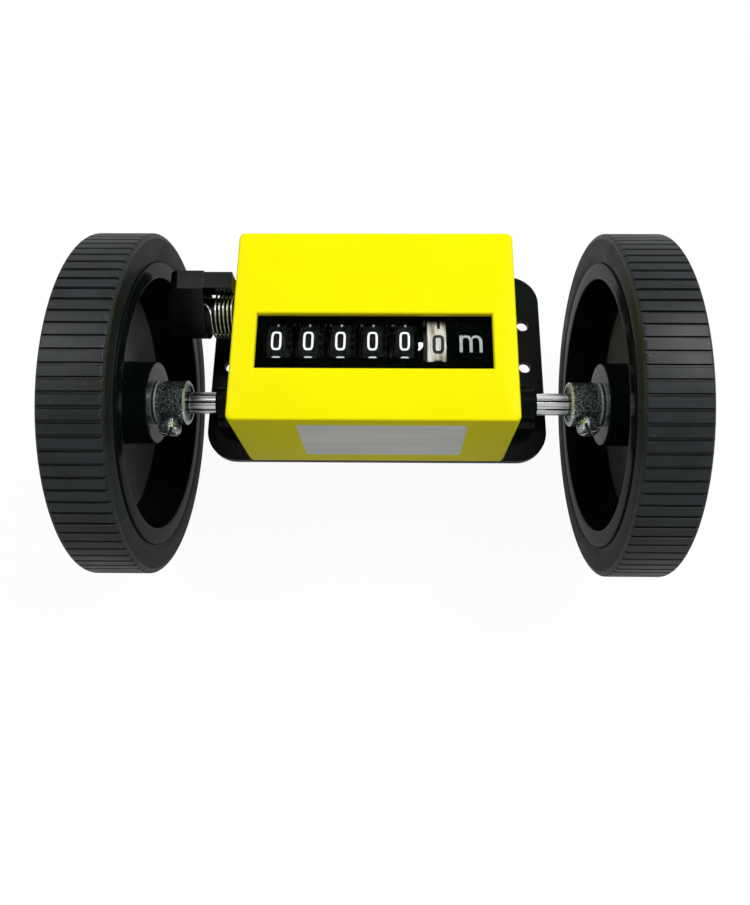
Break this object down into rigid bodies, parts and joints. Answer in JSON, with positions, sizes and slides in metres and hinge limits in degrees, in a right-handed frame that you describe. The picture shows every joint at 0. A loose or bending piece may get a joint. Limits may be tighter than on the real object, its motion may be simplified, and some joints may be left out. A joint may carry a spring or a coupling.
{
  "type": "cable length counter",
  "caption": "Cable length counter: ribbed measuring wheels on a shared shaft turn number wheels behind a window in a yellow cover, with a sprung reset lever at the side.",
  "frame": {"origin": "centre of the base plate's hole pattern, on the plate's underside", "axes": "+X along the wheel shaft to the right of someone reading the figures, +Y to the back, +Z out of the base plate towards the figures"},
  "size_m": [0.1714, 0.106, 0.106],
  "materials": {
    "black_moulding": "glossy",
    "yellow_moulding": "glossy",
    "clear_lens": "polished",
    "black_mask": "satin",
    "black_figure_wheel": "satin",
    "ivory_figure_wheel": "satin",
    "nylon": "satin",
    "tyre_rubber": "satin",
    "zinc_plate": "satin",
    "bright_steel": "polished",
    "brass": "machined"
  },
  "bodies": {
    "case": {"base_plate": "black_moulding", "cover": "yellow_moulding", "window_lens": "clear_lens", "number_mask": "black_mask", "cover_screws": "zinc_plate", "left_side_plate": "zinc_plate", "right_side_plate": "zinc_plate", "plate_spacers": "bright_steel", "plate_screws": "zinc_plate", "left_bush": "brass", "right_bush": "brass", "idler_stud": "bright_steel", "number_spindle": "bright_steel"},
    "shaft": {"drive_shaft": "bright_steel", "shaft_rings": "bright_steel", "shaft_gear": "brass", "left_wheel_rim": "black_moulding", "right_wheel_rim": "black_moulding", "left_tyre": "tyre_rubber", "right_tyre": "tyre_rubber", "left_collar": "zinc_plate", "right_collar": "zinc_plate", "collar_screws": "zinc_plate"},
    "idler": {"idler_gear": "brass"},
    "tenths_wheel": {"number_wheel_6": "ivory_figure_wheel", "tenths_gear": "brass"},
    "units_wheel": {"number_wheel_5": "black_figure_wheel"},
    "tens_wheel": {"number_wheel_4": "black_figure_wheel"},
    "hundreds_wheel": {"number_wheel_3": "black_figure_wheel"},
    "thousands_wheel": {"number_wheel_2": "black_figure_wheel"},
    "ten_thousands_wheel": {"number_wheel_1": "black_figure_wheel"},
    "reset": {"reset_shaft": "bright_steel", "reset_comb": "zinc_plate", "pinion_cradle": "zinc_plate", "pinion_spindle": "bright_steel", "reset_lever": "black_moulding", "lever_screw": "zinc_plate", "reset_spring": "bright_steel"},
    "pinion_1": {"transfer_pinion_1": "nylon"},
    "pinion_2": {"transfer_pinion_2": "nylon"},
    "pinion_3": {"transfer_pinion_3": "nylon"},
    "pinion_4": {"transfer_pinion_4": "nylon"},
    "pinion_5": {"transfer_pinion_5": "nylon"}
  },
  "joints": [
    {"name": "shaft_turn", "type": "hinge", "parent": "case", "child": "shaft", "pos_m": [0, -0.0235, 0.011], "axis": [1, 0, 0], "continuous": true},
    {"name": "idler_turn", "type": "hinge", "parent": "case", "child": "idler", "pos_m": [0, -0.02722, 0.02398], "axis": [1, 0, 0], "continuous": true},
    {"name": "tenths_turn", "type": "hinge", "parent": "case", "child": "tenths_wheel", "pos_m": [0, -0.0145, 0.0285], "axis": [1, 0, 0], "continuous": true},
    {"name": "units_turn", "type": "hinge", "parent": "case", "child": "units_wheel", "pos_m": [0, -0.0145, 0.0285], "axis": [1, 0, 0], "continuous": true},
    {"name": "tens_turn", "type": "hinge", "parent": "case", "child": "tens_wheel", "pos_m": [0, -0.0145, 0.0285], "axis": [1, 0, 0], "continuous": true},
    {"name": "hundreds_turn", "type": "hinge", "parent": "case", "child": "hundreds_wheel", "pos_m": [0, -0.0145, 0.0285], "axis": [1, 0, 0], "continuous": true},
    {"name": "thousands_turn", "type": "hinge", "parent": "case", "child": "thousands_wheel", "pos_m": [0, -0.0145, 0.0285], "axis": [1, 0, 0], "continuous": true},
    {"name": "ten_thousands_turn", "type": "hinge", "parent": "case", "child": "ten_thousands_wheel", "pos_m": [0, -0.0145, 0.0285], "axis": [1, 0, 0], "continuous": true},
    {"name": "reset_swing", "type": "hinge", "parent": "case", "child": "reset", "pos_m": [0, 0.0028, 0.02], "axis": [1, 0, 0], "range_deg": [-35, 0], "stiffness_Nm_per_rad": 0.05, "springref_deg": 17.19, "deforming": ["reset_spring"]},
    {"name": "pinion_5_turn", "type": "hinge", "parent": "reset", "child": "pinion_5", "pos_m": [0, -0.002, 0.03305], "axis": [1, 0, 0], "continuous": true},
    {"name": "pinion_4_turn", "type": "hinge", "parent": "reset", "child": "pinion_4", "pos_m": [0, -0.002, 0.03305], "axis": [1, 0, 0], "continuous": true},
    {"name": "pinion_3_turn", "type": "hinge", "parent": "reset", "child": "pinion_3", "pos_m": [0, -0.002, 0.03305], "axis": [1, 0, 0], "continuous": true},
    {"name": "pinion_2_turn", "type": "hinge", "parent": "reset", "child": "pinion_2", "pos_m": [0, -0.002, 0.03305], "axis": [1, 0, 0], "continuous": true},
    {"name": "pinion_1_turn", "type": "hinge", "parent": "reset", "child": "pinion_1", "pos_m": [0, -0.002, 0.03305], "axis": [1, 0, 0], "continuous": true}
  ],
  "couplings": [
    {"joint": "idler_turn", "follows": "shaft_turn", "ratio": -0.66667},
    {"joint": "tenths_turn", "follows": "shaft_turn", "ratio": 0.33333},
    {"joint": "units_turn", "follows": "shaft_turn", "ratio": 0.033333},
    {"joint": "tens_turn", "follows": "shaft_turn", "ratio": 0.0033333},
    {"joint": "hundreds_turn", "follows": "shaft_turn", "ratio": 0.00033333},
    {"joint": "thousands_turn", "follows": "shaft_turn", "ratio": 0.000033333},
    {"joint": "ten_thousands_turn", "follows": "shaft_turn", "ratio": 0.0000033333},
    {"joint": "pinion_5_turn", "follows": "shaft_turn", "ratio": -0.083333},
    {"joint": "pinion_4_turn", "follows": "shaft_turn", "ratio": -0.0083333},
    {"joint": "pinion_3_turn", "follows": "shaft_turn", "ratio": -0.00083333},
    {"joint": "pinion_2_turn", "follows": "shaft_turn", "ratio": -0.000083333},
    {"joint": "pinion_1_turn", "follows": "shaft_turn", "ratio": -0.0000083333}
  ]
}
